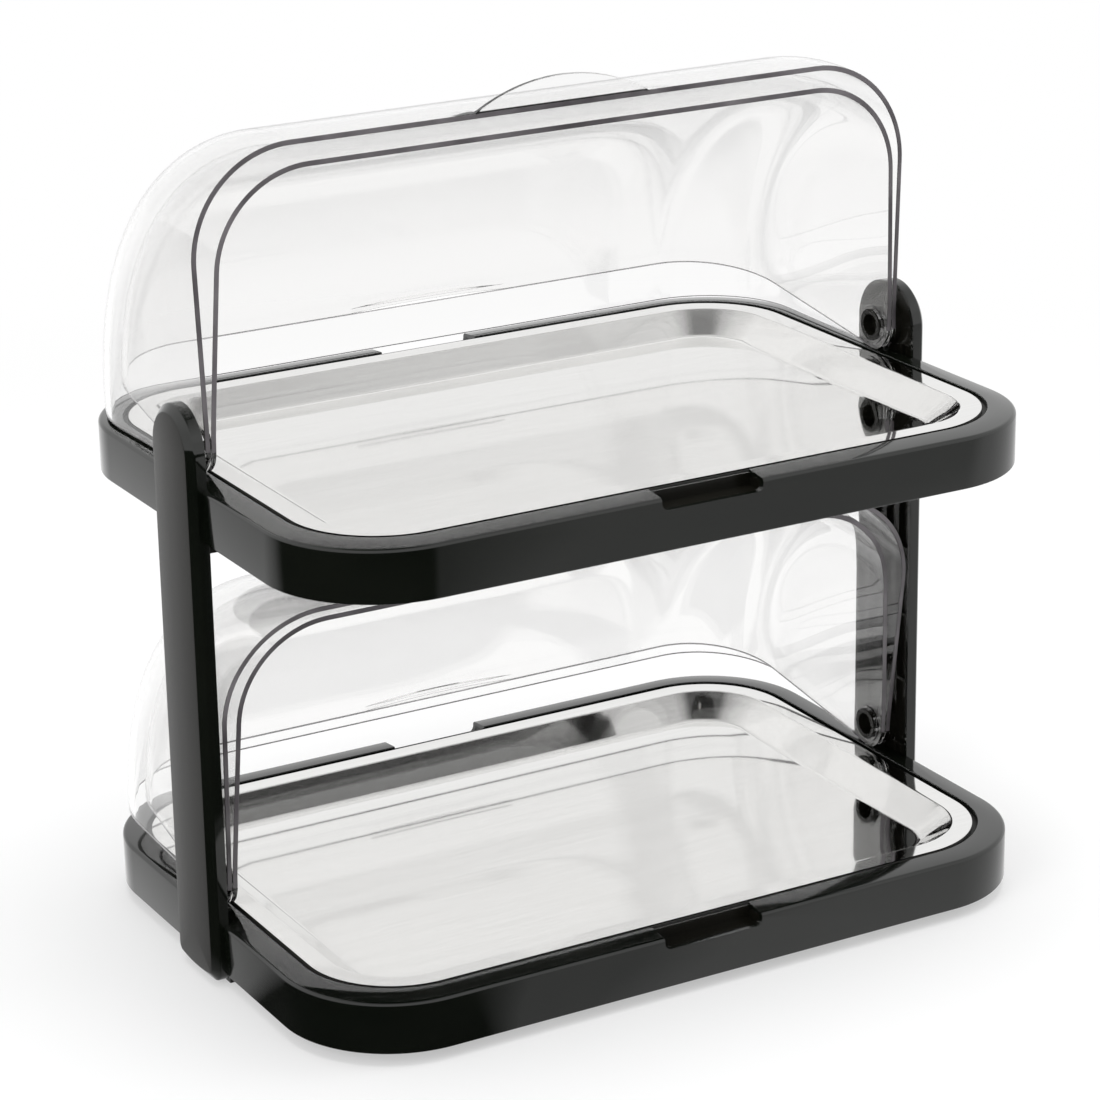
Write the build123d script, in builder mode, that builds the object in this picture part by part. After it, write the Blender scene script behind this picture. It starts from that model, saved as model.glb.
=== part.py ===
from build123d import *
import math
import os

# Two-tier roll-top display case, millimetres. The origin is on the ground below the middle of the case.
# X runs along the length, -Y is the serving side, Z is up.

# Tiers
ground_gap = 7.0
tier_pitch = 242.0
frame_length = 440.0
frame_depth = 320.0
frame_corner = 64.0
frame_height = 29.8
frame_wall = 3.0
rim_width = 14.0
rim_corner = 53.5
rim_fall = 1.4
rim_fillet = 2.2
ledge_width = 8.5
ledge_thickness = 2.5
notch_width = 60.0
notch_depth = 8.0
notch_corner = 4.0

# Base plates and what lies on them
plate_thickness = 2.5
plate_clearance = 0.3
pack_margin = 6.0
pack_gap = 6.0
pack_corner = 32.0
pack_fillet = 3.0
pack_clearance = 0.3
grip_length = 70.0
grip_width = 14.0
grip_depth = 4.0
grip_inset = 18.0

# Trays
tray_thickness = 0.8
tray_clearance = 3.0
tray_drop = 0.4
tray_depth = 12.0
flange_width = 11.0
wall_run = 17.0
tray_bottom_corner = 27.0

# Lids, measured from the hinge line
hinge_rise = 14.6
lid_wall = 2.8
lid_set_back = 4.0
shell_gap = 6.2
lid_side_gap = 0.8
lug_radius = 14.0
lug_flat = 16.0
lug_gap = 0.6
front_lid_corner = 57.0
front_lid_flare = 0.031
front_lid_span = 90.0
front_lid_rest = {"lower": 5.8, "upper": 0.0}
rear_lid_corner = 53.5
rear_lid_flare = -0.048
rear_lid_span = 83.4
rear_lid_rest = {"lower": 3.7, "upper": 3.2}
front_grip_chord = 104.0
front_grip_reach = 14.5
rear_grip_chord = 100.0
rear_grip_reach = 5.0
lid_reach = 400.0

# Hinge pins
pin_radius = 8.45
pin_running_gap = 0.05
pin_hollow_radius = 6.2
pin_hollow_depth = 6.0
pin_lip = 0.6
pin_lip_thickness = 0.8
pin_spigot_radius = 6.0
pin_spigot_length = 5.0
collar_radius = 11.0
collar_height = 0.8
side_gap = 0.3

# Posts
post_half = 24.4
post_chamfer = 4.3
post_recess = 3.0
cover_depth = 10.3
cover_wall = 2.2
cover_bottom_gap = 1.0
cover_sag = 2.0
cover_corner = 8.0
core_set_back = 0.3
core_web = 2.0
core_fit = 0.3
core_rib = 1.6
core_rib_pitch = 12.3
core_bays = 4
core_bay_rows = 6
boss_reach = 6.8
hinge_boss_radius = 13.0
shelf_reach = 15.5
shelf_thickness = 6.5

# Screws and feet
screw_radius = 1.5
screw_fit = 0.1
head_radius = 2.9
head_height = 1.8
boss_radius = 3.6
base_screw_length = 10.0
shelf_screw_length = 16.0
cover_screw_length = 5.4
pin_screw_length = 7.0
long_side_screw = 95.0
shelf_screw_spread = 24.0
foot_radius = 10.0
foot_taper = 1.5
foot_spigot_radius = 3.0
foot_end_inset = 70.0
foot_side_inset = 60.0

# Allowances: how far a cut runs past a face, and how far a hole runs past what goes in it
cut_past = 1.0
tip_gap = 0.5

# Heights and lines that follow from the sizes above
half_length = frame_length / 2
half_depth = frame_depth / 2
tier_bottoms = {"lower": ground_gap, "upper": ground_gap + tier_pitch}
inner_half_length = half_length - rim_width
inner_half_depth = half_depth - rim_width
pocket_half_length = inner_half_length - ledge_width
pocket_half_depth = inner_half_depth - ledge_width
pocket_corner = rim_corner - ledge_width
ledge_top = frame_height - tray_drop - tray_thickness
tray_floor = frame_height - tray_drop - tray_depth
channel_line = (rim_width + ledge_width) / 2
cover_inside = half_length - post_recess
cover_outside = cover_inside + cover_depth
boss_inside = half_length - boss_reach
shelf_inside = half_length - shelf_reach
front_lid_radius = half_depth - lid_set_back
front_lid_half = boss_inside - lid_side_gap
rear_lid_radius = front_lid_radius - lid_wall - shell_gap
rear_lid_half = front_lid_half - lid_wall - lug_gap
foot_x = half_length - foot_end_inset
foot_y = half_depth - foot_side_inset
pin_end = rear_lid_half - lid_wall - collar_height - side_gap - pin_lip_thickness
bore_radius = pin_radius + pin_running_gap
pilot_radius = screw_radius + screw_fit
recess_face = cover_inside - core_fit
recess_half = post_half + core_fit
core_inside = cover_inside + core_set_back
core_half = post_half - cover_wall - core_fit
hollow_chamfer = post_chamfer - cover_wall * (2 - math.sqrt(2))
hollow_end = cover_outside - cover_wall
core_outside = hollow_end - hollow_chamfer - core_fit
web_face = core_outside - core_web


def rim_top(tier):
    return tier_bottoms[tier] + frame_height


def hinge_height(tier):
    return rim_top(tier) + hinge_rise


def rounded_block(length, depth, corner, bottom, top, mode=Mode.ADD):
    with BuildSketch(Plane.XY.offset(bottom)) as outline:
        RectangleRounded(length, depth, corner)
    extrude(outline.sketch, amount=top - bottom, mode=mode)


def block(x_low, x_high, y_half, bottom, top, mode=Mode.ADD):
    with BuildSketch(Plane.XY.offset(bottom)) as outline:
        with Locations(((x_low + x_high) / 2, 0)):
            Rectangle(x_high - x_low, 2 * y_half)
    extrude(outline.sketch, amount=top - bottom, mode=mode)


def rods(points, radius, bottom, top, mode=Mode.ADD):
    with BuildSketch(Plane.XY.offset(bottom)) as circles:
        with Locations(*points):
            Circle(radius)
    extrude(circles.sketch, amount=top - bottom, mode=mode)


def cross_rods(points, radius, x_low, x_high, mode=Mode.ADD):
    with BuildSketch(Plane.YZ.offset(x_low)) as circles:
        with Locations(*points):
            Circle(radius)
    extrude(circles.sketch, amount=x_high - x_low, mode=mode)


def corner_screw_points():
    centre_x = half_length - frame_corner
    centre_y = half_depth - frame_corner
    reach = (frame_corner - channel_line) / math.sqrt(2)
    return [(sx * (centre_x + reach), sy * (centre_y + reach)) for sx in (-1, 1) for sy in (-1, 1)]


def side_screw_points():
    y = half_depth - channel_line
    return [(sx * long_side_screw, sy * y) for sx in (-1, 1) for sy in (-1, 1)]


def base_screw_points():
    return corner_screw_points() + side_screw_points()


def shelf_screw_points(sides=(-1, 1)):
    x = half_length - channel_line
    return [(side * x, sy * shelf_screw_spread / 2) for side in sides for sy in (-1, 1)]


# Frame: a hollow rim, open below, with a ledge for the tray and a finger notch front and rear.
# The rim's top falls outward, so that what is spilt runs off it
def make_frame(tier):
    low = tier_bottoms[tier]
    top = low + frame_height
    ledge = low + ledge_top
    with BuildPart() as frame:
        rounded_block(frame_length, frame_depth, frame_corner, low, top)
        rim_face = frame.faces().sort_by(Axis.Z)[-1]
        chamfer(rim_face.edges(), rim_width, rim_fall, reference=rim_face)
        shoulder = top - rim_fall
        fillet(frame.edges().filter_by_position(Axis.Z, shoulder - tip_gap, shoulder + tip_gap), rim_fillet)
        rounded_block(2 * inner_half_length, 2 * inner_half_depth, rim_corner, ledge, top, Mode.SUBTRACT)
        rounded_block(2 * pocket_half_length, 2 * pocket_half_depth, pocket_corner, low, ledge, Mode.SUBTRACT)
        with BuildSketch(Plane.XY.offset(low)):
            RectangleRounded(
                frame_length - 2 * frame_wall,
                frame_depth - 2 * frame_wall,
                frame_corner - frame_wall,
            )
            RectangleRounded(
                2 * (inner_half_length + frame_wall),
                2 * (inner_half_depth + frame_wall),
                rim_corner + frame_wall,
                mode=Mode.SUBTRACT,
            )
        extrude(amount=frame_height - frame_wall, mode=Mode.SUBTRACT)
        with BuildSketch(Plane.XY.offset(low)):
            RectangleRounded(
                2 * (inner_half_length + frame_wall),
                2 * (inner_half_depth + frame_wall),
                rim_corner + frame_wall,
            )
            RectangleRounded(
                2 * (pocket_half_length + frame_wall),
                2 * (pocket_half_depth + frame_wall),
                pocket_corner + frame_wall,
                mode=Mode.SUBTRACT,
            )
        extrude(amount=ledge_top - ledge_thickness, mode=Mode.SUBTRACT)
        rounded_block(
            frame_length - 2 * frame_wall, frame_depth - 2 * frame_wall, frame_corner - frame_wall,
            low, low + plate_thickness, Mode.SUBTRACT,
        )
        for side in (-1, 1):
            ends = sorted((side * (recess_face - frame_wall), side * (half_length - frame_wall)))
            block(*ends, recess_half + frame_wall, low + plate_thickness, top - frame_wall)
            ends = sorted((side * recess_face, side * (half_length + cut_past)))
            block(*ends, recess_half, low, top, Mode.SUBTRACT)
        rods(base_screw_points() + shelf_screw_points(), boss_radius, low + plate_thickness, top - frame_wall)
        pilot_top = low + head_height + base_screw_length + tip_gap
        rods(base_screw_points(), pilot_radius, low, pilot_top, Mode.SUBTRACT)
        pilot_top = low - shelf_thickness + head_height + shelf_screw_length + tip_gap
        rods(shelf_screw_points(), pilot_radius, low, pilot_top, Mode.SUBTRACT)
        for plane in (Plane.XZ.offset(inner_half_depth), Plane.XZ.offset(-inner_half_depth)):
            outward = 1 if plane.origin.Y < 0 else -1
            with BuildSketch(plane):
                with Locations((0, top)):
                    RectangleRounded(notch_width, 2 * notch_depth, notch_corner)
            extrude(amount=outward * (rim_width + cut_past), mode=Mode.SUBTRACT)
    return frame


# Base plate: closes the frame from below and carries the cool packs
def make_base_plate(tier):
    low = tier_bottoms[tier]
    inset = frame_wall + plate_clearance
    with BuildPart() as plate:
        rounded_block(
            frame_length - 2 * inset, frame_depth - 2 * inset, frame_corner - inset, low, low + plate_thickness
        )
        for side in (-1, 1):
            ends = sorted((side * (recess_face - plate_clearance), side * half_length))
            block(*ends, recess_half + plate_clearance, low, low + plate_thickness, Mode.SUBTRACT)
        rods(shelf_screw_points(), pilot_radius, low, low + plate_thickness, Mode.SUBTRACT)
        rods(base_screw_points(), pilot_radius, low, low + plate_thickness, Mode.SUBTRACT)
        rods(base_screw_points(), head_radius + screw_fit, low, low + head_height, Mode.SUBTRACT)
        if tier == "lower":
            rods(foot_points(), foot_spigot_radius + screw_fit, low, low + plate_thickness, Mode.SUBTRACT)
    return plate


def foot_points():
    return [(sx * foot_x, sy * foot_y) for sx in (-1, 1) for sy in (-1, 1)]


# Tray: pressed sheet with a flat flange, sloping walls and a flat bottom
def make_tray(tier):
    top = tier_bottoms[tier] + frame_height - tray_drop
    outer_x = inner_half_length - tray_clearance
    outer_y = inner_half_depth - tray_clearance
    mouth_x = outer_x - flange_width
    mouth_y = outer_y - flange_width
    mouth_corner = rim_corner - tray_clearance - flange_width
    with BuildPart() as tray:
        with BuildSketch(Plane.XY.offset(top - tray_thickness)):
            RectangleRounded(2 * (mouth_x + tray_thickness), 2 * (mouth_y + tray_thickness), mouth_corner)
        with BuildSketch(Plane.XY.offset(top - tray_depth - tray_thickness)):
            RectangleRounded(2 * (mouth_x - wall_run), 2 * (mouth_y - wall_run), tray_bottom_corner)
        loft()
        rounded_block(2 * outer_x, 2 * outer_y, rim_corner - tray_clearance, top - tray_thickness, top)
        with BuildSketch(Plane.XY.offset(top)):
            RectangleRounded(2 * mouth_x, 2 * mouth_y, mouth_corner)
        with BuildSketch(Plane.XY.offset(top - tray_depth)):
            RectangleRounded(2 * (mouth_x - wall_run), 2 * (mouth_y - wall_run), tray_bottom_corner)
        loft(mode=Mode.SUBTRACT)
    return tray


# Cool pack: a flat sealed block with a moulded grip, two to a tier
def make_cool_pack(tier, side):
    low = tier_bottoms[tier] + plate_thickness
    high = tier_bottoms[tier] + tray_floor - tray_thickness - pack_clearance
    length = pocket_half_length - pack_margin - pack_gap / 2
    depth = 2 * (pocket_half_depth - pack_margin)
    middle = side * (pack_gap + length) / 2
    with BuildPart() as pack:
        with BuildSketch(Plane.XY.offset(low)):
            with Locations((middle, 0)):
                RectangleRounded(length, depth, pack_corner)
        extrude(amount=high - low)
        fillet(pack.faces().sort_by(Axis.Z)[-1].edges(), pack_fillet)
        with BuildSketch(Plane.XY.offset(high)):
            with Locations((middle, depth / 2 - grip_inset), (middle, grip_inset - depth / 2)):
                SlotOverall(grip_length, grip_width)
        extrude(amount=-grip_depth, mode=Mode.SUBTRACT)
    return pack


# Lids: curved shells turning about one hinge line. Angles are from straight up, forward counted positive
def edge_direction(angle):
    turn = math.radians(angle)
    return (-math.sin(turn), math.cos(turn))


def solid_of_revolution(height, radius, corner, half, flare, mode=Mode.ADD):
    shoulder = half + flare * (radius - lug_flat)
    with BuildSketch(Plane(origin=(0, 0, height), x_dir=(1, 0, 0), z_dir=(0, -1, 0))) as profile:
        with BuildLine():
            Polyline(
                (-half, 0), (-half, lug_flat), (-shoulder, radius),
                (shoulder, radius), (half, lug_flat), (half, 0),
                close=True,
            )
        make_face()
        fillet(profile.vertices().group_by(Axis.Y)[-1], corner)
    revolve(profile.sketch, axis=Axis((0, 0, height), (1, 0, 0)), revolution_arc=360, mode=mode)


# Grip: a shallow segment of a disc lying in an edge plane of a lid
def add_grip(height, radius, direction, outward, turned, chord, reach):
    disc = ((chord / 2) ** 2 + reach ** 2) / (2 * reach)
    edge = math.sqrt(radius ** 2 - lug_radius ** 2)
    origin = (0, lug_radius * outward[0], height + lug_radius * outward[1])
    plane = Plane(origin=origin, x_dir=(turned, 0, 0), z_dir=(0, -outward[0], -outward[1]))
    with BuildSketch(plane) as segment:
        with Locations((0, edge + reach - disc)):
            Circle(disc)
        with Locations((0, edge - lid_wall / 2)):
            Rectangle(4 * disc, 4 * disc, align=(Align.CENTER, Align.MIN), mode=Mode.INTERSECT)
    extrude(segment.sketch, amount=lid_wall)


def make_lid(tier, radius, corner, half, flare, front_edge, rear_edge, grip_edge, chord, reach, collar):
    height = hinge_height(tier)
    front = edge_direction(front_edge)
    rear = edge_direction(rear_edge)
    middle = edge_direction((front_edge + rear_edge) / 2)
    front_out = (-front[1], front[0])
    rear_out = (rear[1], -rear[0])
    front_foot = (lug_radius * front_out[0], lug_radius * front_out[1])
    rear_foot = (lug_radius * rear_out[0], lug_radius * rear_out[1])
    front_far = (front_foot[0] + lid_reach * front[0], front_foot[1] + lid_reach * front[1])
    rear_far = (rear_foot[0] + lid_reach * rear[0], rear_foot[1] + lid_reach * rear[1])
    middle_far = (2 * lid_reach * middle[0], 2 * lid_reach * middle[1])
    lug_back = (-lug_radius * middle[0], -lug_radius * middle[1])
    with BuildPart() as lid:
        solid_of_revolution(height, radius, corner, half, flare)
        solid_of_revolution(
            height, radius - lid_wall, corner - lid_wall, half - lid_wall, flare, Mode.SUBTRACT
        )
        with BuildSketch(Plane(origin=(-lid_reach, 0, height), x_dir=(0, 1, 0), z_dir=(1, 0, 0))):
            with BuildLine():
                Polyline(front_foot, front_far, middle_far, rear_far, rear_foot)
                ThreePointArc(rear_foot, lug_back, front_foot)
            make_face()
        extrude(amount=2 * lid_reach, mode=Mode.INTERSECT)
        if grip_edge == "front":
            add_grip(height, radius, front, front_out, -1, chord, reach)
        else:
            add_grip(height, radius, rear, rear_out, 1, chord, reach)
        if collar:
            inner = half - lid_wall
            cross_rods([(0, height)], collar_radius, inner - collar_height, inner)
            cross_rods([(0, height)], collar_radius, -inner, collar_height - inner)
        cross_rods([(0, height)], bore_radius, -lid_reach, lid_reach, Mode.SUBTRACT)
    return lid


def make_front_lid(tier):
    front_edge = front_lid_rest[tier]
    return make_lid(
        tier, front_lid_radius, front_lid_corner, front_lid_half, front_lid_flare,
        front_edge, front_edge - front_lid_span, "front", front_grip_chord, front_grip_reach, False,
    )


def make_rear_lid(tier):
    front_edge = rear_lid_rest[tier]
    return make_lid(
        tier, rear_lid_radius, rear_lid_corner, rear_lid_half, rear_lid_flare,
        front_edge, front_edge - rear_lid_span, "rear", rear_grip_chord, rear_grip_reach, True,
    )


# Posts: a ribbed core that carries both frames and the hinges, and a cover outside it.
# Both are drawn on the right and mirrored for the left
cover_top = hinge_height("upper")
screw_heights = [tier_bottoms[tier] + frame_height / 2 for tier in tier_bottoms]
cover_screw_points = [(sy * core_rib_pitch / 2, z) for z in screw_heights for sy in (-1, 1)]
pin_screw_points = [(0, hinge_height(tier)) for tier in tier_bottoms]


def post_outline(x, half, bottom, sag, corner, crown):
    with BuildSketch(Plane.YZ.offset(x)) as outline:
        with BuildLine():
            Line((-half, bottom), (-half, crown))
            ThreePointArc((-half, crown), (0, crown + half), (half, crown))
            Line((half, crown), (half, bottom))
            ThreePointArc((half, bottom), (0, bottom - sag), (-half, bottom))
        make_face()
        fillet(outline.vertices().group_by(Axis.Y)[0], corner)
    return outline.sketch


def cover_blank(inset, depth, edge_chamfer):
    outline = post_outline(
        cover_inside, post_half - inset, cover_bottom_gap + cover_sag + inset, cover_sag,
        cover_corner - inset, cover_top,
    )
    with BuildPart() as blank:
        extrude(outline, amount=depth)
        chamfer(blank.faces().sort_by(Axis.X)[-1].edges(), edge_chamfer)
    return blank.part


def make_post_cover(side):
    depth = cover_outside - cover_inside
    solid = cover_blank(0, depth, post_chamfer)
    hollow = cover_blank(cover_wall, depth - cover_wall, hollow_chamfer)
    with BuildPart() as cover:
        add(solid)
        add(hollow, mode=Mode.SUBTRACT)
        cross_rods(cover_screw_points, boss_radius, core_outside, hollow_end)
        pilot_end = web_face + cover_screw_length + tip_gap
        cross_rods(cover_screw_points, pilot_radius, core_outside, pilot_end, Mode.SUBTRACT)
        if side < 0:
            mirror(about=Plane.YZ, mode=Mode.REPLACE)
    return cover


def make_post_core(side):
    spigot_hole_end = boss_inside + pin_spigot_length + tip_gap
    bay_pitch = tier_pitch / core_bay_rows
    bay_spots = [
        ((bay - (core_bays - 1) / 2) * core_rib_pitch, screw_heights[0] + row * bay_pitch)
        for bay in range(core_bays)
        for row in range(core_bay_rows + 1)
    ]
    outline = post_outline(
        core_inside, core_half, cover_bottom_gap + cover_sag + cover_wall + core_fit, cover_sag,
        cover_corner - cover_wall - core_fit, cover_top,
    )
    with BuildPart() as core:
        extrude(outline, amount=core_outside - core_inside)
        with BuildSketch(Plane.YZ.offset(core_inside)):
            with Locations(*bay_spots):
                Rectangle(core_rib_pitch - core_rib, bay_pitch - core_rib)
        extrude(amount=web_face - core_inside, mode=Mode.SUBTRACT)
        for tier in tier_bottoms:
            low = tier_bottoms[tier]
            block(shelf_inside, recess_face, core_half, low - shelf_thickness, low)
            tongue_low = max(low - shelf_thickness, cover_bottom_gap + cover_wall + core_fit)
            block(recess_face, web_face, core_rib_pitch / 2, tongue_low, low)
            cross_rods([(0, hinge_height(tier))], hinge_boss_radius, boss_inside, web_face)
            head_low = low - shelf_thickness
            head_top = head_low + head_height
            rods(shelf_screw_points((1,)), pilot_radius, head_low, low, Mode.SUBTRACT)
            rods(shelf_screw_points((1,)), head_radius + screw_fit, head_low, head_top, Mode.SUBTRACT)
        cross_rods(pin_screw_points, pin_spigot_radius + screw_fit, boss_inside, spigot_hole_end, Mode.SUBTRACT)
        cross_rods(pin_screw_points, pilot_radius, boss_inside, core_outside, Mode.SUBTRACT)
        cross_rods(cover_screw_points, pilot_radius, core_inside, core_outside, Mode.SUBTRACT)
        if side < 0:
            mirror(about=Plane.YZ, mode=Mode.REPLACE)
    return core


# Hinge pin: a hollow stud with a lip that keeps both lids on
def make_hinge_pin(tier, side):
    middle = [(0, hinge_height(tier))]
    spigot_end = boss_inside + pin_spigot_length
    with BuildPart() as pin:
        cross_rods(middle, pin_radius, pin_end, boss_inside)
        cross_rods(middle, pin_radius + pin_lip, pin_end, pin_end + pin_lip_thickness)
        cross_rods(middle, pin_spigot_radius, boss_inside, spigot_end)
        cross_rods(middle, pin_hollow_radius, pin_end, pin_end + pin_hollow_depth, Mode.SUBTRACT)
        hole_start = core_outside - pin_screw_length - tip_gap
        cross_rods(middle, pilot_radius, hole_start, spigot_end, Mode.SUBTRACT)
        if side < 0:
            mirror(about=Plane.YZ, mode=Mode.REPLACE)
    return pin


# Upright screws, heads down
def make_upright_screws(points, seats, length, head_low):
    with BuildPart() as screws:
        for seat in seats:
            rods(points, screw_radius, seat, seat + length)
            rods(points, head_radius, seat - head_low, seat)
    return screws


# Cross screws: the shank runs from the head's seat towards the shank's end
def make_cross_screws(points, seat, end, head_reach):
    with BuildPart() as screws:
        cross_rods(points, screw_radius, min(seat, end), max(seat, end))
        cross_rods(points, head_radius, min(seat, head_reach), max(seat, head_reach))
        mirror(about=Plane.YZ)
    return screws


# Rubber foot: a short cone with a push-in spigot
def make_foot(point):
    with BuildPart() as foot:
        with BuildSketch(Plane.XY):
            with Locations(point):
                Circle(foot_radius - foot_taper)
        with BuildSketch(Plane.XY.offset(ground_gap)):
            with Locations(point):
                Circle(foot_radius)
        loft()
        rods([point], foot_spigot_radius, ground_gap, ground_gap + plate_thickness)
    return foot


os.makedirs("parts", exist_ok=True)


def save(piece, name):
    piece.part.label = name
    export_step(piece.part, f"parts/{name}.step")


for tier in tier_bottoms:
    save(make_frame(tier), f"{tier}_frame")
    save(make_base_plate(tier), f"{tier}_base_plate")
    save(make_tray(tier), f"{tier}_tray")
    save(make_front_lid(tier), f"{tier}_front_lid")
    save(make_rear_lid(tier), f"{tier}_rear_lid")
    head_seat = tier_bottoms[tier] + head_height
    base_screws = make_upright_screws(base_screw_points(), [head_seat], base_screw_length, head_height)
    save(base_screws, f"{tier}_base_screws")
    for hand, side in (("left", -1), ("right", 1)):
        save(make_cool_pack(tier, side), f"{tier}_{hand}_cool_pack")
        save(make_hinge_pin(tier, side), f"{tier}_{hand}_hinge_pin")

for hand, side in (("left", -1), ("right", 1)):
    save(make_post_cover(side), f"{hand}_post_cover")
    save(make_post_core(side), f"{hand}_post_core")

shelf_seats = [tier_bottoms[tier] - shelf_thickness + head_height for tier in tier_bottoms]
shelf_screws = make_upright_screws(shelf_screw_points(), shelf_seats, shelf_screw_length, head_height)
save(shelf_screws, "shelf_screws")
cover_screw_end = web_face + cover_screw_length
save(make_cross_screws(cover_screw_points, web_face, cover_screw_end, web_face - head_height), "cover_screws")
pin_screw_end = core_outside - pin_screw_length
save(make_cross_screws(pin_screw_points, core_outside, pin_screw_end, core_outside + head_height), "pin_screws")

for name, point in zip(("front_left", "rear_left", "front_right", "rear_right"), foot_points()):
    save(make_foot(point), f"{name}_foot")
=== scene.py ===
import math
import bpy
import bmesh
import numpy as np
from mathutils import Matrix, Vector


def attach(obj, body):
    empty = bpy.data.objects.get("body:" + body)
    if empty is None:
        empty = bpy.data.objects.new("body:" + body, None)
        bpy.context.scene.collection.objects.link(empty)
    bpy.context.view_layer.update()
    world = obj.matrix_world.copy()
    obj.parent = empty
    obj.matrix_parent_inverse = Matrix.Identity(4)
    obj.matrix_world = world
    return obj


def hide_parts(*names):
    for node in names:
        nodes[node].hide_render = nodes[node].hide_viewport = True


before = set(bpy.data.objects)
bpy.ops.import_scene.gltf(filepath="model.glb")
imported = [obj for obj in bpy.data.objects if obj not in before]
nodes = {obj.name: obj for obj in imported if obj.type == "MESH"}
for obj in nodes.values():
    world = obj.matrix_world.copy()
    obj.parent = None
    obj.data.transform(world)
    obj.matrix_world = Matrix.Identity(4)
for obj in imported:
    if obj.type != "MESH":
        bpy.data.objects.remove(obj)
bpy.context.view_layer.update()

mm = 0.001
print("frame loaded,", len(nodes), "nodes")


# Camera, at the photograph's place. The focal length is in pixels of a picture 1100 wide
cameraSettings = {
    "pictureWidth": 1100, "focalPixels": 3673.83, "azimuth": -29.36, "elevation": 19.30,
    "roll": -1.01, "distance": 2.30835, "target": (0.13592, 0.25030, 0.09768),
}


def addCamera(settings):
    azimuth, elevation = math.radians(settings["azimuth"]), math.radians(settings["elevation"])
    level = math.cos(elevation)
    back = Vector((math.sin(azimuth) * level, -math.cos(azimuth) * level, math.sin(elevation)))
    right = Vector((math.cos(azimuth), math.sin(azimuth), 0))
    roll = Matrix.Rotation(math.radians(settings["roll"]), 3, "Z")
    turn = Matrix((right, back.cross(right), back)).transposed() @ roll
    data = bpy.data.cameras.new("camera")
    data.sensor_width = 36
    data.lens = data.sensor_width * settings["focalPixels"] / settings["pictureWidth"]
    data.clip_start, data.clip_end = 0.1, 100
    camera = bpy.data.objects.new("camera", data)
    place = Vector(settings["target"]) + back * settings["distance"]
    camera.matrix_world = Matrix.Translation(place) @ turn.to_4x4()
    bpy.context.scene.collection.objects.link(camera)
    bpy.context.scene.camera = camera


addCamera(cameraSettings)


# One output of a shader node. Arithmetic on it adds Math nodes
class Wire:
    def __init__(self, finish, socket):
        self.finish = finish
        self.socket = socket

    def math(self, operation, first, second):
        return self.finish.node("ShaderNodeMath", {"operation": operation}, {0: first, 1: second})

    def __add__(self, other):
        return self.math("ADD", self, other)

    def __sub__(self, other):
        return self.math("SUBTRACT", self, other)

    def __rsub__(self, other):
        return self.math("SUBTRACT", other, self)

    def __mul__(self, other):
        return self.math("MULTIPLY", self, other)

    def __truediv__(self, other):
        return self.math("DIVIDE", self, other)

    def __pow__(self, other):
        return self.math("POWER", self, other)


# A material, or the world, as a node tree that is empty at first
class Finish:
    def __init__(self, holder):
        self.holder = holder
        holder.use_nodes = True
        self.tree = holder.node_tree
        self.tree.nodes.clear()

    def node(self, kind, settings, sockets, output=0):
        made = self.tree.nodes.new(kind)
        for name, value in settings.items():
            setattr(made, name, value)
        for name, value in sockets.items():
            if isinstance(value, Wire):
                self.tree.links.new(value.socket, made.inputs[name])
            else:
                made.inputs[name].default_value = value
        return Wire(self, made.outputs[output])

    def place(self):
        return self.node("ShaderNodeTexCoord", {}, {}, "Object")

    def noise(self, scale, detail=2.0, stretch=(1, 1, 1)):
        where = self.node("ShaderNodeMapping", {}, {"Vector": self.place(), "Scale": stretch})
        return self.node("ShaderNodeTexNoise", {}, {"Vector": where, "Scale": scale, "Detail": detail})

    def spread(self, value, low, high, toLow=0.0, toHigh=1.0):
        return self.node("ShaderNodeMapRange", {}, {0: value, 1: low, 2: high, 3: toLow, 4: toHigh})

    def shades(self, value, stops):
        ramp = self.node("ShaderNodeValToRGB", {}, {0: value})
        elements = ramp.socket.node.color_ramp.elements
        elements[0].position, elements[0].color = stops[0][0], (*stops[0][1], 1)
        elements[1].position, elements[1].color = stops[-1][0], (*stops[-1][1], 1)
        for position, colour in stops[1:-1]:
            elements.new(position).color = (*colour, 1)
        return ramp

    def bump(self, height, distance, strength=1.0):
        return self.node("ShaderNodeBump", {}, {"Height": height, "Distance": distance, "Strength": strength})

    def principled(self, **sockets):
        named = {name.replace("_", " "): value for name, value in sockets.items()}
        return self.node("ShaderNodeBsdfPrincipled", {}, named)

    def ends(self, shader, kind="ShaderNodeOutputMaterial"):
        out = self.tree.nodes.new(kind)
        self.tree.links.new(shader.socket, out.inputs["Surface"])
        return self.holder


def newFinish(name):
    return Finish(bpy.data.materials.new(name))


# Moulded gloss plastic: black with an olive cast, a faint ripple, and hairline rubs that dull it
glossLook = {"colour": (0.0022, 0.0031, 0.0020), "rub": (0.0048, 0.0058, 0.0040), "ripple": 0.00002}


def makeGlossPlastic(look):
    finish = newFinish("glossPlastic")
    cloud = finish.noise(14.0, 3.0)
    grit = finish.noise(900.0, 2.0)
    colour = finish.shades(cloud, [(0.35, look["colour"]), (0.8, look["rub"])])
    rough = finish.spread(grit * 0.5 + cloud * 0.5, 0.35, 0.7, 0.05, 0.12)
    ripple = finish.bump(finish.noise(38.0, 1.0), look["ripple"])
    shader = finish.principled(Base_Color=colour, Roughness=rough, IOR=1.56, Normal=ripple)
    return finish.ends(shader)


# Satin plastic of the posts, plates and pins: a fine even grain
satinLook = {"colour": (0.0048, 0.0046, 0.0034), "light": (0.0088, 0.0084, 0.0064), "grain": 0.00002}


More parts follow.
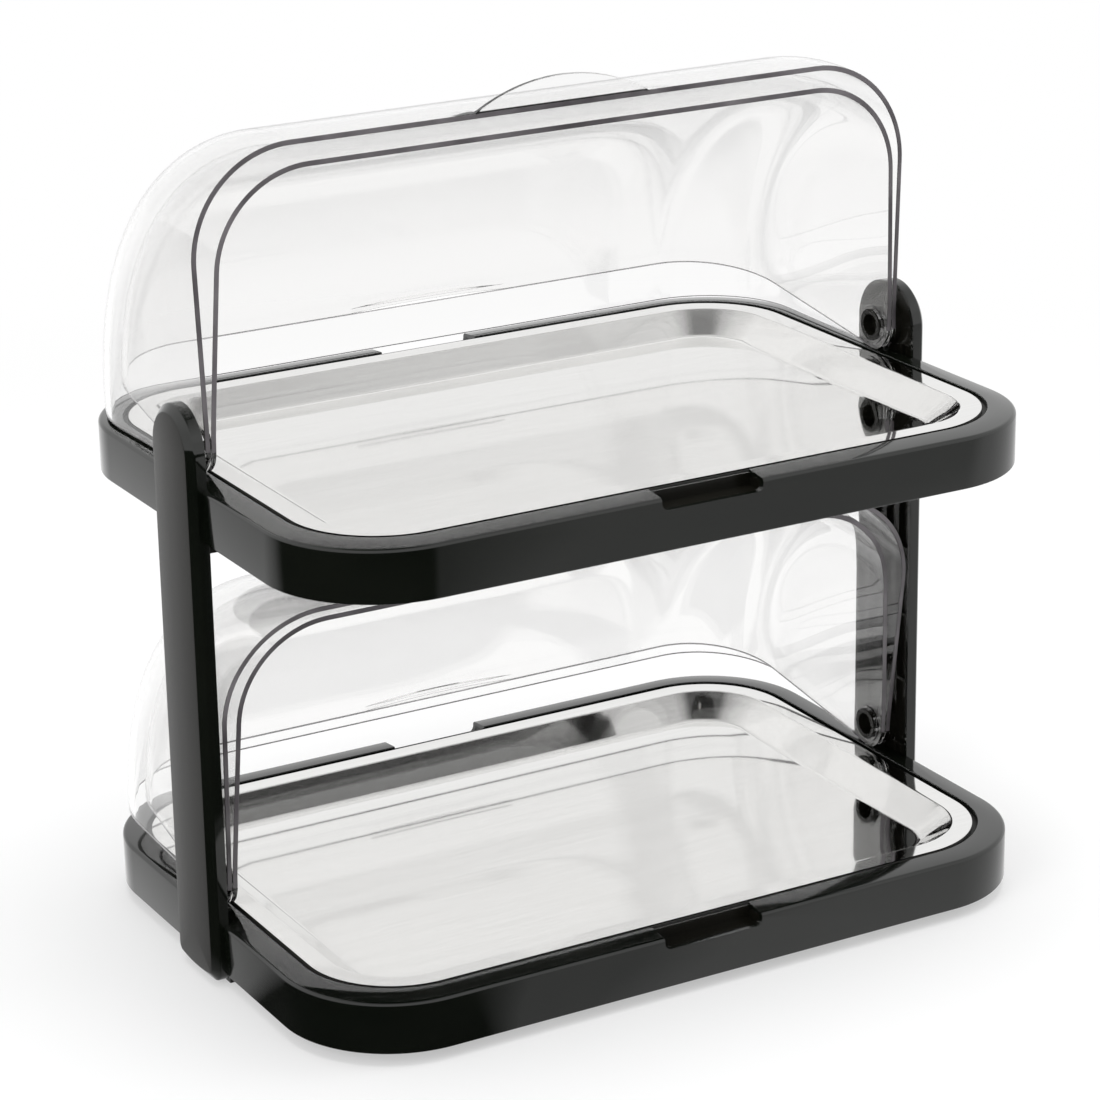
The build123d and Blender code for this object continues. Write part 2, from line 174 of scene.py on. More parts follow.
def makeSatinPlastic(look):
    finish = newFinish("satinPlastic")
    cloud = finish.noise(9.0, 3.0)
    grain = finish.noise(2200.0, 2.0)
    colour = finish.shades(cloud, [(0.3, look["colour"]), (0.75, look["light"])])
    rough = finish.spread(grain, 0.3, 0.7, 0.17, 0.25)
    shader = finish.principled(Base_Color=colour, Roughness=rough, IOR=1.3, Normal=finish.bump(grain, look["grain"]))
    return finish.ends(shader)


# Polished sheet steel, almost a mirror, with faint streaks drawn along its length
steelLook = {"colour": (0.775, 0.772, 0.762), "streak": (0.745, 0.742, 0.730), "wave": 0.00003}


def makeSteel(look):
    finish = newFinish("polishedSteel")
    streaks = finish.noise(60.0, 3.0, (0.4, 14.0, 14.0))
    cloud = finish.noise(6.0, 2.0)
    colour = finish.shades(streaks, [(0.3, look["streak"]), (0.6, look["colour"])])
    rough = finish.spread(streaks * 0.4 + cloud * 0.6, 0.3, 0.7, 0.03, 0.07)
    wave = finish.bump(finish.noise(7.0, 0.0), look["wave"])
    shader = finish.principled(Base_Color=colour, Metallic=1.0, Roughness=rough, Normal=wave)
    return finish.ends(shader)


# Clear moulded plastic. Shadow rays pass it, so that what stands under the lids is lit
clearLook = {"tint": (0.972, 0.970, 0.968), "shadow": (0.95, 0.95, 0.95), "wave": 0.00002}


def makeClearPlastic(look):
    finish = newFinish("clearPlastic")
    wave = finish.bump(finish.noise(11.0, 1.0), look["wave"])
    haze = finish.spread(finish.noise(5.0, 2.0), 0.45, 0.75, 0.0, 0.02)
    body = finish.principled(
        Base_Color=(*look["tint"], 1), Roughness=haze, IOR=1.49, Transmission_Weight=1.0, Normal=wave
    )
    passing = finish.node("ShaderNodeBsdfTransparent", {}, {"Color": (*look["shadow"], 1)})
    shadowRay = finish.node("ShaderNodeLightPath", {}, {}, "Is Shadow Ray")
    return finish.ends(finish.node("ShaderNodeMixShader", {}, {0: shadowRay, 1: body, 2: passing}))


# The cut edges of the lids, painted dark violet in their colour: painted shade standing in for the light that runs
# along inside the sheet and comes out dark and violet there
edgeShadeLook = {"deep": (0.060, 0.053, 0.059), "pale": (0.21, 0.195, 0.207)}


def makeClearEdgePaintedShade(look):
    finish = newFinish("clearEdgePaintedShade")
    cloud = finish.noise(30.0, 2.0)
    # Deep and pale tones of the painted edge shade, spread at random by the cloud
    colour = finish.shades(cloud, [(0.3, look["deep"]), (0.75, look["pale"])])
    shader = finish.principled(Base_Color=colour, Roughness=0.16, IOR=1.49, Transmission_Weight=0.2)
    return finish.ends(shader)


# Milky pack plastic, zinc-plated screws and rubber
def makePackPlastic():
    finish = newFinish("packPlastic")
    cloud = finish.noise(16.0, 3.0)
    grain = finish.noise(1500.0, 2.0)
    colour = finish.shades(cloud, [(0.3, (0.50, 0.64, 0.77)), (0.7, (0.60, 0.72, 0.83))])
    rough = finish.spread(grain, 0.3, 0.7, 0.36, 0.5)
    return finish.ends(finish.principled(Base_Color=colour, Roughness=rough, Normal=finish.bump(grain, 0.00002)))


def makeScrewSteel():
    finish = newFinish("screwSteel")
    cloud = finish.noise(420.0, 3.0)
    colour = finish.shades(cloud, [(0.3, (0.52, 0.52, 0.50)), (0.7, (0.68, 0.68, 0.66))])
    rough = finish.spread(cloud, 0.3, 0.7, 0.22, 0.42)
    return finish.ends(finish.principled(Base_Color=colour, Metallic=1.0, Roughness=rough))


def makeRubber():
    finish = newFinish("rubber")
    grain = finish.noise(1300.0, 3.0)
    colour = finish.shades(grain, [(0.3, (0.022, 0.022, 0.021)), (0.75, (0.045, 0.044, 0.042))])
    rough = finish.spread(grain, 0.3, 0.7, 0.62, 0.82)
    return finish.ends(finish.principled(Base_Color=colour, Roughness=rough, Normal=finish.bump(grain, 0.00005)))


glossPlastic = makeGlossPlastic(glossLook)
satinPlastic = makeSatinPlastic(satinLook)
steel = makeSteel(steelLook)
clearPlastic = makeClearPlastic(clearLook)
clearEdgePaintedShade = makeClearEdgePaintedShade(edgeShadeLook)
packPlastic = makePackPlastic()
screwSteel = makeScrewSteel()
rubber = makeRubber()
print("finishes made")


# Faces of a grid of points, rows by columns, with either way closed on itself
def gridFaces(rows, columns, closedRows=False, closedColumns=False):
    row = np.arange(rows if closedRows else rows - 1)[:, None]
    column = np.arange(columns if closedColumns else columns - 1)[None, :]
    nextRow, nextColumn = (row + 1) % rows, (column + 1) % columns
    corners = [(row, column), (row, nextColumn), (nextRow, nextColumn), (nextRow, column)]
    shape = len(row), column.shape[1]
    return np.stack([np.broadcast_to(r * columns + c, shape) for r, c in corners], axis=-1).reshape(-1, 4)


weldDistance = 0.000002


# Collects grids of points and flat caps, then makes one welded mesh of them with its faces outward.
# A zone is the number of a material: one for a whole grid, or one for each row of its faces
class Shell:
    def __init__(self):
        self.points = []
        self.faces = []
        self.zones = []
        self.count = 0

    def grid(self, points, zone=0, closedRows=False, closedColumns=False, keep=None):
        rows, columns = points.shape[:2]
        faces = gridFaces(rows, columns, closedRows, closedColumns) + self.count
        width = columns if closedColumns else columns - 1
        zones = np.broadcast_to(zone, (len(faces) // width, width)).reshape(-1)
        if keep is not None:
            faces, zones = faces[keep.reshape(-1)], zones[keep.reshape(-1)]
        self.points.append(points.reshape(-1, 3))
        self.faces.extend(faces.tolist())
        self.zones.extend(zones.tolist())
        self.count += rows * columns

    def cap(self, points, zone=0):
        self.points.append(points)
        self.faces.append(list(range(self.count, self.count + len(points))))
        self.zones.append(zone)
        self.count += len(points)

    def piece(self, name, materials, sharpAngle):
        mesh = bpy.data.meshes.new(name)
        mesh.from_pydata((np.concatenate(self.points) * mm).tolist(), [], self.faces)
        mesh.polygons.foreach_set("material_index", self.zones)
        work = bmesh.new()
        work.from_mesh(mesh)
        bmesh.ops.remove_doubles(work, verts=work.verts, dist=weldDistance)
        bmesh.ops.dissolve_degenerate(work, edges=work.edges, dist=weldDistance)
        bmesh.ops.recalc_face_normals(work, faces=work.faces)
        work.to_mesh(mesh)
        work.free()
        mesh.polygons.foreach_set("use_smooth", [True] * len(mesh.polygons))
        mesh.set_sharp_from_angle(angle=math.radians(sharpAngle))
        thing = bpy.data.objects.new(name, mesh)
        bpy.context.scene.collection.objects.link(thing)
        for material in materials:
            mesh.materials.append(material)
        return thing


def bevelled(thing, width, segments=2, angle=50):
    bevel = thing.modifiers.new("bevel", "BEVEL")
    bevel.width = width * mm
    bevel.segments = segments
    bevel.limit_method = "ANGLE"
    bevel.angle_limit = math.radians(angle)
    bevel.harden_normals = True


# A path of straight runs whose corners are rounded. Points are (across, height), one radius for each
def roundedPath(points, radii, steps=5):
    out = []
    count = len(points)
    for i in range(count):
        corner = np.array(points[i], float)
        if radii[i] == 0:
            out.append(corner[None])
            continue
        before = np.array(points[i - 1], float) - corner
        after = np.array(points[(i + 1) % count], float) - corner
        before, after = before / np.linalg.norm(before), after / np.linalg.norm(after)
        halfAngle = math.acos(np.clip(before @ after, -1, 1)) / 2
        middle = (before + after) / np.linalg.norm(before + after)
        centre = corner + middle * radii[i] / math.sin(halfAngle)
        start = corner + before * radii[i] / math.tan(halfAngle) - centre
        end = corner + after * radii[i] / math.tan(halfAngle) - centre
        share = np.linspace(0, 1, steps + 1)[:, None]
        sweep = math.pi - 2 * halfAngle
        out.append(centre + (np.sin((1 - share) * sweep) * start + np.sin(share * sweep) * end) / math.sin(sweep))
    return np.concatenate(out)


# Rounded rectangles stacked as rings: halves, corner radii and heights in, a row of points for each ring out
def rectangleRings(halfX, halfY, corner, height, arcSteps=20):
    turn = np.radians(np.concatenate([np.linspace(start, start + 90, arcSteps + 1) for start in (0, 90, 180, 270)]))
    signX = np.repeat([1, -1, -1, 1], arcSteps + 1)
    signY = np.repeat([1, 1, -1, -1], arcSteps + 1)
    x = signX * (halfX - corner)[:, None] + corner[:, None] * np.cos(turn)
    y = signY * (halfY - corner)[:, None] + corner[:, None] * np.sin(turn)
    return np.stack([x, y, np.broadcast_to(height[:, None], x.shape)], axis=-1)


tierBottoms = {"lower": 7.0, "upper": 249.0}
frameHeight = 29.8
hingeRise = 14.6


def cutWith(thing, boxes):
    cutters = Shell()
    for low, high, corner in boxes:
        rounded = roundedPath(
            [(low[0], low[2]), (high[0], low[2]), (high[0], high[2]), (low[0], high[2])], [corner, corner, 0, 0], 6
        )
        section = np.stack([rounded[:, 0], np.zeros(len(rounded)), rounded[:, 1]], axis=-1)
        ends = np.stack([section + (0, low[1], 0), section + (0, high[1], 0)])
        cutters.grid(ends, closedColumns=True)
        cutters.cap(ends[0])
        cutters.cap(ends[1])
    cutter = cutters.piece("cutter", [], 30)
    cut = thing.modifiers.new("cut", "BOOLEAN")
    cut.object = cutter
    cut.operation = "DIFFERENCE"
    cut.solver = "EXACT"
    bpy.context.view_layer.update()
    done = bpy.data.meshes.new_from_object(thing.evaluated_get(bpy.context.evaluated_depsgraph_get()))
    thing.modifiers.clear()
    thing.data = done
    done.set_sharp_from_angle(angle=math.radians(30))
    bpy.data.objects.remove(cutter)


# A block from one corner to the other, added to a piece's mesh in one of its materials
def addBlock(thing, low, high, zone):
    work = bmesh.new()
    work.from_mesh(thing.data)
    made = bmesh.ops.create_cube(work, size=1.0)["verts"]
    for face in {face for vertex in made for face in vertex.link_faces}:
        face.material_index = zone
    size, middle = (np.array(high) - low) * mm, (np.array(high) + low) / 2 * mm
    for vertex in made:
        vertex.co = Vector(np.array(vertex.co) * size + middle)
    work.to_mesh(thing.data)
    work.free()


# Frames: a hollow section carried round the tier, then the finger notches and the post recesses cut from it
frameLook = {
    "halfX": 220.0, "halfY": 160.0, "corner": 64.0, "wall": 3.0, "rim": 14.0, "rimCorner": 53.5, "fall": 1.4,
    "ledge": 8.5, "ledgeTop": 28.6, "ledgeThickness": 2.5, "groove": (2.9, 1.8), "plate": 2.5, "topRound": 2.2,
    "innerRound": 0.5, "ledgeRound": 0.5, "footRound": 0.8, "notch": (30.0, 8.0, 4.0), "tub": 1.2, "tubDrop": 0.3,
    "recess": (216.7, 24.7), "edgeRound": 0.5,
}
# Zones of the frame, and how far its cuts run past it
glossZone, dullZone, satinZone = 0, 1, 2
slack = 0.1
past = 1.0


def makeFrame(tier, look):
    wall, rim, pocket, top = look["wall"], look["rim"], look["rim"] + look["ledge"], frameHeight
    under = look["ledgeTop"] - look["ledgeThickness"]
    grooveEnd, grooveFloor = rim + look["groove"][0], look["ledgeTop"] - look["groove"][1]
    section = roundedPath(
        [
            (0, 0), (0, top - look["fall"]), (rim, top), (rim, grooveFloor), (grooveEnd, grooveFloor),
            (grooveEnd, look["ledgeTop"]), (pocket, look["ledgeTop"]), (pocket, look["plate"]),
            (pocket - wall, look["plate"]), (pocket - wall, under), (rim - wall, under), (rim - wall, top - wall),
            (wall, top - wall), (wall, 0),
        ],
        [look["footRound"], look["topRound"], look["innerRound"], 0, 0, 0, look["ledgeRound"], 0, 0, 0, 0, 0, 0, 0],
    )
    inset, height = section[:, 0], section[:, 1]
    # The corner radius shrinks with the inset. The inner walls have their own, larger start
    outerZone = inset < rim / 2
    corner = np.where(outerZone, look["corner"] - inset, look["rimCorner"] + rim - inset)
    rings = rectangleRings(look["halfX"] - inset, look["halfY"] - inset, corner, tierBottoms[tier] + height, 24)
    shell = Shell()
    # The groove and the ledge are dull, the rest is gloss
    dull = (inset > rim - slack) & (inset < pocket + slack) & (height > under) & (height < look["ledgeTop"] + slack)
    zones = np.where(dull & np.roll(dull, -1), dullZone, glossZone)
    shell.grid(rings, zones[:, None], closedRows=True, closedColumns=True)
    thing = shell.piece(f"{tier}FrameShell", [glossPlastic, rubber, satinPlastic], 30)
    notchHalf, notchDepth, notchCorner = look["notch"]
    low, high = tierBottoms[tier], tierBottoms[tier] + top
    innerY, outerY = look["halfY"] - rim - slack, look["halfY"] + past
    recessX, recessY = look["recess"]
    cutWith(thing, [
        ((-notchHalf, -outerY, high - notchDepth), (notchHalf, -innerY, high + 2 * past), notchCorner),
        ((-notchHalf, innerY, high - notchDepth), (notchHalf, outerY, high + 2 * past), notchCorner),
        ((recessX, -recessY, low - past), (look["halfX"] + past, recessY, high + past), 0),
        ((-look["halfX"] - past, -recessY, low - past), (-recessX, recessY, high + past), 0),
    ])
    # Each notch opens into a shallow tub: a floor, a back and two ends
    tub, floor, back = look["tub"], high - notchDepth, low + look["ledgeTop"] - look["tubDrop"]
    for hand in (-1, 1):
        near, away = sorted((hand * (look["halfY"] - wall + slack), hand * (look["halfY"] - rim)))
        behind = sorted((hand * (look["halfY"] - rim), hand * (look["halfY"] - rim + tub)))
        addBlock(thing, (-notchHalf - tub, near, floor - tub), (notchHalf + tub, away, floor), satinZone)
        addBlock(thing, (-notchHalf - tub, behind[0], floor - tub), (notchHalf + tub, behind[1], back), satinZone)
        for end in (-notchHalf - tub, notchHalf):
            addBlock(thing, (end, near, floor - tub), (end + tub, away, high - wall), satinZone)
    bevelled(thing, look["edgeRound"])
    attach(thing, "stand")
    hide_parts(f"{tier}_frame")


for tier in tierBottoms:
    makeFrame(tier, frameLook)
print("frames made")


# Trays: one pressed sheet with a flat flange, a rounded lip, sloping walls and a flat bottom
trayLook = {
    "halfX": 203.0, "halfY": 143.0, "corner": 50.5, "top": 29.4, "flange": 11.0, "run": 17.0, "depth": 12.0,
    "bottomCorner": 27.0, "floor": 12.0, "thickness": 0.8, "lipRound": 3.0, "footRound": 6.0,
}


def makeTray(tier, look):
    flange, reach = look["flange"], look["flange"] + look["run"]
    end = reach + look["floor"]
    path = roundedPath(
        [(0, 0), (flange, 0), (reach, -look["depth"]), (end, -look["depth"])],
        [0, look["lipRound"], look["footRound"], 0], 7,
    )
    along = np.gradient(path, axis=0)
    along = along / np.linalg.norm(along, axis=1)[:, None]
    under = path + np.stack([along[:, 1], -along[:, 0]], axis=-1) * look["thickness"]
    under[0, 0], under[-1, 0] = path[0, 0], path[-1, 0]
    mouth = look["corner"] - flange
    foot = look["bottomCorner"]
    corner = np.interp(path[:, 0], [0, flange, reach, end], [look["corner"], mouth, foot, foot - look["floor"]])
    section = np.concatenate([path, under[::-1]])
    corner = np.concatenate([corner, (corner + path[:, 0] - under[:, 0])[::-1]])
    height = tierBottoms[tier] + look["top"] + section[:, 1]
    rings = rectangleRings(look["halfX"] - section[:, 0], look["halfY"] - section[:, 0], corner, height, 24)
    shell = Shell()
    count = len(path)
    shell.grid(rings[:count], closedColumns=True)
    shell.grid(rings[count:], closedColumns=True)
    shell.grid(rings[[-1, 0]], closedColumns=True)
    shell.cap(rings[count - 1])
    shell.cap(rings[count])
    thing = shell.piece(f"{tier}TraySheet", [steel], 40)
    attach(thing, "stand")
    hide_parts(f"{tier}_tray")


for tier in tierBottoms:
    makeTray(tier, trayLook)
print("trays made")


# Lids: the outline of half a lid in distance along the hinge and distance from it, turned about the hinge line.
# Each edge lies in a plane that misses the hinge line by the lug's radius, so a point's turn at the edge is the
# edge's angle plus the angle whose sine is that radius over the point's distance
lidLook = {
    "wall": 2.8, "lug": 14.0, "bore": 8.5, "lugFlat": 16.0, "collarRadius": 11.0, "edgeRound": 0.45,
    "rows": 46, "arcPoints": 22, "gripPoints": 17, "topPoints": 8, "sidePoints": 12, "backPoints": 15, "near": 0.01,
    "front": {
        "radius": 156.0, "corner": 57.0, "half": 212.4, "flare": 0.031, "span": 90.0,
        "grip": (104.0, 14.5), "collar": 0.0, "rest": {"lower": 5.8, "upper": 0.0},
    },
    "rear": {
        "radius": 144.2 + 2.8, "corner": 53.5, "half": 209.0, "flare": -0.048, "span": 83.4,
        "grip": (100.0, 5.0), "collar": 0.8, "rest": {"lower": 3.7, "upper": 3.2},
    },
}


# Half outline from the middle of the top to the lug: the top run, the corner's arc, the side's run
def lidOutline(radius, corner, half, flare, chord, look):
    slant = math.hypot(1, flare)
    centreR = radius - corner
    centreX = half + flare * (centreR - look["lugFlat"]) - corner * slant
    turn = np.linspace(math.pi / 2, -math.atan(flare), look["arcPoints"])
    grip = np.linspace(0, chord / 2, look["gripPoints"])
    top = np.concatenate([grip, np.linspace(chord / 2, centreX, look["topPoints"])[1:-1]])
    sideR = np.linspace(centreR - corner * flare / slant, look["lugFlat"], look["sidePoints"])[1:]
    x = np.concatenate([top, centreX + corner * np.cos(turn), half + flare * (sideR - look["lugFlat"]), [half]])
    r = np.concatenate([np.full(len(top), radius), centreR + corner * np.sin(turn), sideR, [look["lug"]]])
    return np.concatenate([-x[:0:-1], x]), np.concatenate([r[:0:-1], r])


def turned(x, r, angle, height):
    x, r, angle = np.broadcast_arrays(x, r, angle)
    return np.stack([x, -r * np.sin(angle), height + r * np.cos(angle)], axis=-1)


def makeLid(tier, kind, look):
    own = look[kind]
    wall, lug, bore, radius = look["wall"], look["lug"], look["bore"], own["radius"]
    hinge = tierBottoms[tier] + frameHeight + hingeRise
    frontEdge = math.radians(own["rest"][tier])
    rearEdge = frontEdge - math.radians(own["span"])
    chord, reach = own["grip"]
    outerX, outerR = lidOutline(radius, own["corner"], own["half"], own["flare"], chord, look)
    innerX, innerR = lidOutline(radius - wall, own["corner"] - wall, own["half"] - wall, own["flare"], chord, look)

    # Turns of each row at a given distance: both edges, the lines a wall's width inside them, and even steps between
    def rowTurns(r):
        edge, inside = np.arcsin(np.clip(lug / r, -1, 1)), np.arcsin((lug - wall) / r)
        share = np.linspace(0, 1, look["rows"])[:, None]
        between = (rearEdge - inside) * (1 - share) + (frontEdge + inside) * share
        return np.concatenate([(rearEdge - edge)[None], between, (frontEdge + edge)[None]])

    outer = turned(outerX, outerR, rowTurns(outerR), hinge)
    inner = turned(innerX, innerR, rowTurns(innerR), hinge)
    shell = Shell()
    # The grip stands on the outer face along one edge, so that strip of the face is left open under it
    middle = (outerX[:-1] + outerX[1:]) / 2
    underGrip = (np.abs(middle) < chord / 2) & (outerR[:-1] > radius - look["near"])
    keep = np.ones((len(outer) - 1, len(outerX) - 1), bool)
    keep[-1 if kind == "front" else 0, underGrip] = False
    shell.grid(outer, keep=keep)
    shell.grid(inner)
    # The two cut edges take zone 1, the dark violet painted shade of the edges
    shell.grid(np.stack([outer[-1], inner[-1]]), 1)
    shell.grid(np.stack([outer[0], inner[0]]), 1)

    gripX = outerX[(np.abs(outerX) <= chord / 2 + look["near"]) & (outerR > radius - look["near"])]
    disc = ((chord / 2) ** 2 + reach ** 2) / (2 * reach)
    rise = reach - disc + np.sqrt(disc ** 2 - gripX ** 2)
    edge = frontEdge if kind == "front" else rearEdge
    side = 1 if kind == "front" else -1
    along = np.array([-math.sin(edge), math.cos(edge)])
    outward = np.array([-math.cos(edge), -math.sin(edge)]) * side
    rows = []
    for offset, lift in ((lug, 0), (lug, 1), (lug - wall, 1), (lug - wall, 0)):
        base = math.sqrt(radius ** 2 - offset ** 2)
        far = base + rise * lift * (1 - (base - math.sqrt(radius ** 2 - lug ** 2)) / reach)
        flat = far[:, None] * along + offset * outward
        rows.append(np.column_stack([gripX, flat[:, 0], hinge + flat[:, 1]]))
    shell.grid(np.stack(rows))

    # Round each bore: a ring out to the lug's rim on both faces, the bore's own wall, and the lug's back
    ringTurns = rowTurns(np.array([lug]))[:, 0]
    backTurns = np.linspace(ringTurns[-1], ringTurns[0] + 2 * math.pi, look["backPoints"])
    fullTurns = np.concatenate([ringTurns, backTurns[1:-1]])
    half, inside, collar = own["half"], own["half"] - wall, own["collar"]
    for hand in (-1, 1):
        outerRing = turned(hand * half, np.array([lug, bore])[:, None], fullTurns, hinge)
        steps = [(lug, inside), (bore, inside - collar)]
        if collar:
            steps[1:1] = [(look["collarRadius"], inside), (look["collarRadius"], inside - collar)]
        stepR, stepX = np.array(steps).T
        innerRing = turned(hand * stepX[:, None], stepR[:, None], fullTurns, hinge)
        shell.grid(outerRing, closedColumns=True)
        shell.grid(innerRing, closedColumns=True)
        shell.grid(np.stack([outerRing[-1], innerRing[-1]]), closedColumns=True)
        shell.grid(turned(hand * np.array([half, inside])[:, None], lug, backTurns, hinge))
    thing = shell.piece(f"{tier}{kind.capitalize()}LidShell", [clearPlastic, clearEdgePaintedShade], 35)
    bevelled(thing, look["edgeRound"])
    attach(thing, f"{tier}_{kind}_lid")
    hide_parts(f"{tier}_{kind}_lid")


for tier in tierBottoms:
    makeLid(tier, "front", lidLook)
    makeLid(tier, "rear", lidLook)
print("lids made")


# Post covers: rings of the post's outline, stepped outward over the skirt, the chamfer and the face
coverLook = {
    "half": 24.4, "crown": 293.4, "bottom": 3.0, "sag": 2.0, "corner": 8.0, "inside": 217.0, "outside": 227.3,
    "chamfer": 4.3, "wall": 2.2, "skirtRound": 1.4, "ridgeRound": 0.5, "pillow": 0.8, "middle": 23.6,
    "edgeRound": 0.25, "archPoints": 33, "sidePoints": 12, "cornerPoints": 9, "facePoints": 10, "lip": 1.0,
    "leastCorner": 0.3,
}


# The outline drawn inward by each inset: half circle on top, straight sides, a bowed bottom with rounded corners
def postRings(inset, x, look):
    inset, x = inset[:, None], x[:, None]
    half, corner, sag = look["half"] - inset, np.maximum(look["corner"] - inset, look["leastCorner"]), look["sag"]
    bow = (half ** 2 + sag ** 2) / (2 * sag)
    bowCentre = look["bottom"] + inset - sag + bow
    cornerZ = bowCentre - np.sqrt((bow - corner) ** 2 - (half - corner) ** 2)
    lean = np.arctan2(half - corner, bowCentre - cornerZ)
    top = np.linspace(0, math.pi, look["archPoints"])
    side = np.linspace(0, 1, look["sidePoints"])[1:-1]
    part = np.linspace(0, 1, look["cornerPoints"])
    cornerTurn = math.pi + (math.pi / 2 - lean) * part
    bowTurn = -lean + 2 * lean * part[1:-1]
    crown = np.broadcast_to(look["crown"], half.shape)
    topY, topZ = half * np.cos(top), crown + half * np.sin(top)
    sideY, sideZ = -half + 0 * side, crown + (cornerZ - crown) * side
    cornerY = -half + corner + corner * np.cos(cornerTurn)
    cornerH = cornerZ + corner * np.sin(cornerTurn)
    bowY, bowZ = bow * np.sin(bowTurn), bowCentre - bow * np.cos(bowTurn)
    y = np.concatenate([topY, sideY, cornerY, bowY, -cornerY[:, ::-1], -sideY[:, ::-1]], axis=1)
    z = np.concatenate([topZ, sideZ, cornerH, bowZ, cornerH[:, ::-1], sideZ[:, ::-1]], axis=1)
    return np.stack([np.broadcast_to(x, y.shape), y, z], axis=-1)


def makeCover(hand, side, look):
    chamfer, wall = look["chamfer"], look["wall"]
    hollowChamfer = chamfer - wall * (2 - math.sqrt(2))
    hollowEnd = look["outside"] - look["pillow"] - wall
    # The face is a shallow pillow: its fall grows with the square of the distance from its middle line
    faceInset = np.linspace(chamfer, look["middle"], look["facePoints"])
    faceX = look["outside"] - look["pillow"] * ((look["middle"] - faceInset) / (look["middle"] - chamfer)) ** 2
    path = roundedPath(
        [
            (0, look["inside"]), (0, look["outside"] - chamfer), *zip(faceInset, faceX),
            (wall + hollowChamfer + look["lip"], hollowEnd), (wall + hollowChamfer, hollowEnd),
            (wall, hollowEnd - hollowChamfer), (wall, look["inside"]),
        ],
        [0, look["skirtRound"], look["ridgeRound"], *[0] * (len(faceInset) - 1), 0, 0, 0, 0],
    )
    rings = postRings(path[:, 0], path[:, 1], look) * (side, 1, 1)
    faceEnd = int(np.argmax(path[:, 0]))
    shell = Shell()
    satin = (path[:faceEnd, 0] > chamfer).astype(int)
    shell.grid(rings[: faceEnd + 1], satin[:, None], closedColumns=True)
    shell.grid(rings[faceEnd + 1:], closedColumns=True)
    shell.grid(rings[[-1, 0]], closedColumns=True)
    shell.cap(rings[faceEnd], 1)
    shell.cap(rings[faceEnd + 1])
    thing = shell.piece(f"{hand}CoverShell", [glossPlastic, satinPlastic], 30)
    bevelled(thing, look["edgeRound"])
    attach(thing, "stand")
    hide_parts(f"{hand}_post_cover")


makeCover("left", -1, coverLook)
makeCover("right", 1, coverLook)
print("covers made")


# The CAD nodes that stay, each with its finish
nodeFinishes = {
    "base_plate": satinPlastic, "post_core": satinPlastic, "hinge_pin": satinPlastic, "cool_pack": packPlastic,
    "screws": screwSteel, "foot": rubber,
}
for name, node in nodes.items():
    for ending, material in nodeFinishes.items():
        if name.endswith(ending):
            node.data.materials.clear()
            node.data.materials.append(material)


# Stage: a white floor with a soft shadow, soft boxes and a white surround. In reflections the floor is dim in front.
# Turns are about a point near the front left corner, in degrees from straight ahead of it towards +X
stageLook = {
    "floor": (0.88, 0.88, 0.88), "floorRadius": 14, "veil": 0.45, "clearFrom": 0.55, "clearTo": 1.3,
    "surround": 0.80, "zenith": 0.55,
    "corner": (-0.156, -0.096), "gloss": 1.15, "floorGloss": 1.15, "dim": 0.03,
    "floorTurns": [
        (-180, 0), (-168, 0), (-150, 0.40), (-140, 0.48), (-132, 0.6), (-122, 1), (19, 1), (31, 0.49), (50, 0.49),
        (62, 0.27), (150, 0.27), (180, 0),
    ],
    "overhead": [
        (0.0, 0.95), (0.36, 0.90), (0.5, 1.0), (0.62, 1.0), (0.86, 0.74), (0.93, 0.5), (0.965, 0.12), (1.0, 0.12),
    ],
    "lamps": [
        ("topBox", (0.1, 0.1, 1.9), (0, 0, 0.2), 1.6, 1.6, 24),
        ("leftBox", (-1.7, -0.9, 1.0), (0, 0, 0.2), 1.0, 1.4, 14),
        ("rightBox", (1.6, -0.7, 1.2), (0, 0, 0.2), 0.9, 1.3, 10),
    ],
}


# How dim the floor is in the direction (x, y), from its turn: 0 is bright and 1 is dim
def dimness(finish, x, y, turns):
    turn = finish.node("ShaderNodeMath", {"operation": "ARCTAN2"}, {0: x, 1: 0 - y})
    stops = [((degrees + 180) / 360, (level,) * 3) for degrees, level in turns]
    return finish.shades(turn / (2 * math.pi) + 0.5, stops)


# Two switches: seen straight or through the clear plastic, and seen in a reflection on its own or through it
def rayKind(finish):
    def light(output):
        return finish.node("ShaderNodeLightPath", {}, {}, output)

    def switch(value):
        return finish.node("ShaderNodeMath", {"operation": "MINIMUM"}, {0: value, 1: 1.0})

    straight = switch(light("Is Camera Ray") + light("Is Transmission Ray"))
    mirrored = switch(light("Glossy Depth"))
    return straight * (1 - mirrored), mirrored * light("Is Glossy Ray")


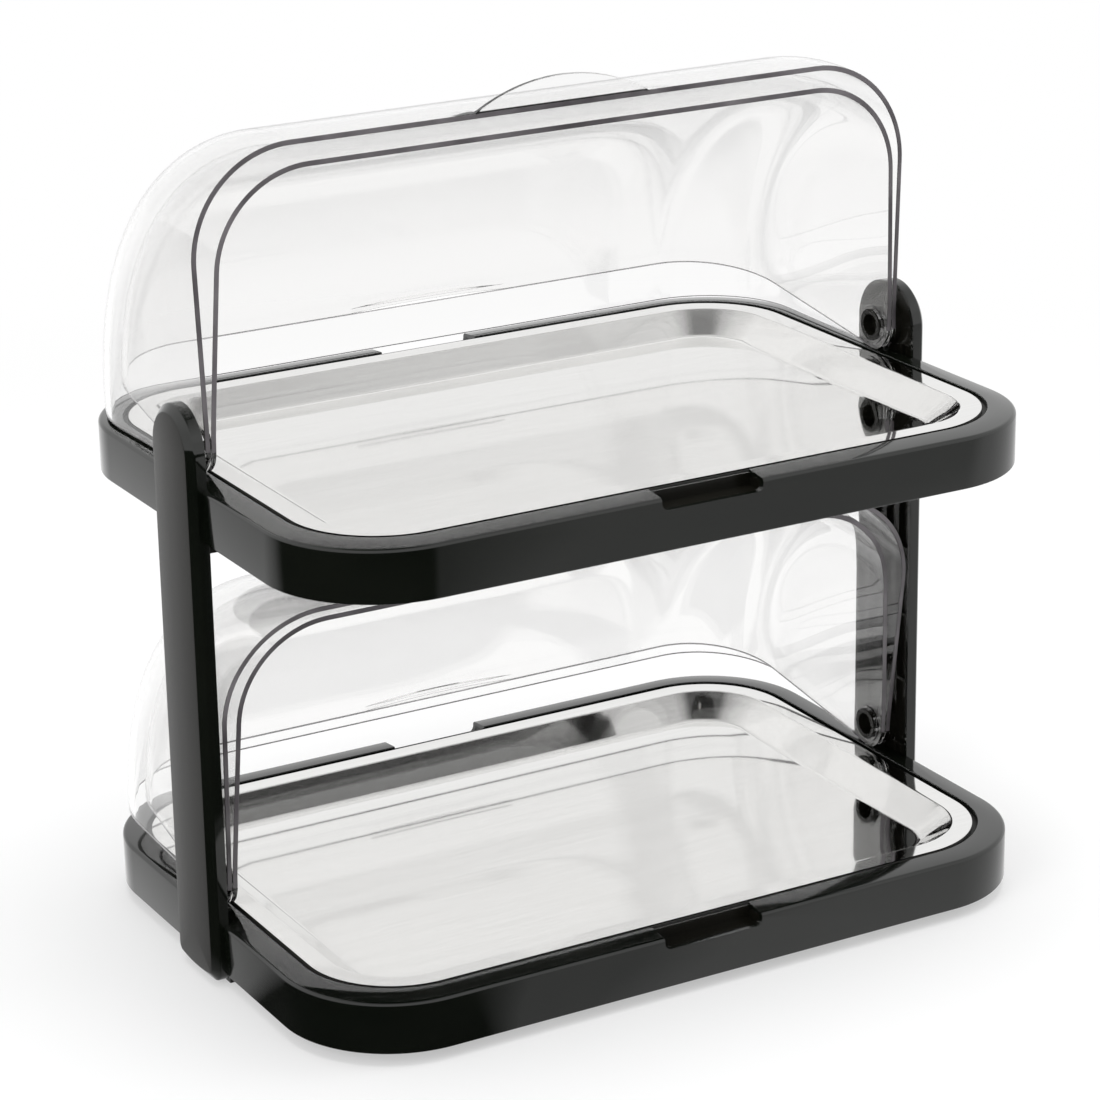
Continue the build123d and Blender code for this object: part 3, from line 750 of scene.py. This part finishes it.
def makeFloor(look):
    bpy.ops.mesh.primitive_circle_add(
        vertices=96, radius=look["floorRadius"], fill_type="NGON", location=(0, 0, 0)
    )
    floor = bpy.context.object
    floor.name = "floor"
    finish = newFinish("floor")
    x, y = (finish.node("ShaderNodeSeparateXYZ", {}, {0: finish.place()}, axis) for axis in "XY")
    far = (x * x + y * y) ** 0.5
    lit = finish.principled(Base_Color=(*look["floor"], 1), Roughness=0.9, Specular_IOR_Level=0.0)
    white = finish.node("ShaderNodeEmission", {}, {"Color": (1, 1, 1, 1), "Strength": 1.0})
    dim = dimness(finish, x - look["corner"][0], y - look["corner"][1], look["floorTurns"])
    strength = finish.spread(dim, 0.0, 1.0, look["floorGloss"], look["dim"])
    mirrored = finish.node("ShaderNodeEmission", {}, {"Color": (1, 1, 1, 1), "Strength": strength})
    seen, glossy = rayKind(finish)
    veil = finish.spread(far, look["clearFrom"], look["clearTo"], look["veil"], 1.0) * seen
    shown = finish.node("ShaderNodeMixShader", {}, {0: veil, 1: lit, 2: white})
    both = finish.node("ShaderNodeMixShader", {}, {0: glossy, 1: shown, 2: mirrored})
    floor.data.materials.append(finish.ends(both))


def makeLamps(look):
    for name, place, aim, width, height, power in look["lamps"]:
        data = bpy.data.lights.new(name, "AREA")
        data.shape = "RECTANGLE"
        data.size, data.size_y, data.energy = width, height, power
        lamp = bpy.data.objects.new(name, data)
        lamp.location = place
        lamp.rotation_euler = (Vector(aim) - Vector(place)).to_track_quat("-Z", "Y").to_euler()
        lamp.visible_glossy = lamp.visible_transmission = False
        bpy.context.scene.collection.objects.link(lamp)


def makeSurround(look):
    world = bpy.data.worlds.new("surround")
    bpy.context.scene.world = world
    finish = Finish(world)
    way = finish.node("ShaderNodeTexCoord", {}, {}, "Generated")
    up = finish.node("ShaderNodeSeparateXYZ", {}, {0: way}, "Z")
    overhead = finish.shades(up, [(at, (level,) * 3) for at, level in look["overhead"]])
    mirrored = overhead * look["gloss"]
    diffuse = finish.spread(up, 0.0, 1.0, look["surround"], look["zenith"])
    seen, glossy = rayKind(finish)
    level = seen + (1 - seen) * (glossy * mirrored + (1 - glossy) * diffuse)
    sky = finish.node("ShaderNodeBackground", {}, {"Color": (1, 1, 1, 1), "Strength": level})
    finish.ends(sky, "ShaderNodeOutputWorld")


makeFloor(stageLook)
makeLamps(stageLook)
makeSurround(stageLook)
bpy.context.scene.view_settings.view_transform = "Standard"
print("stage made")
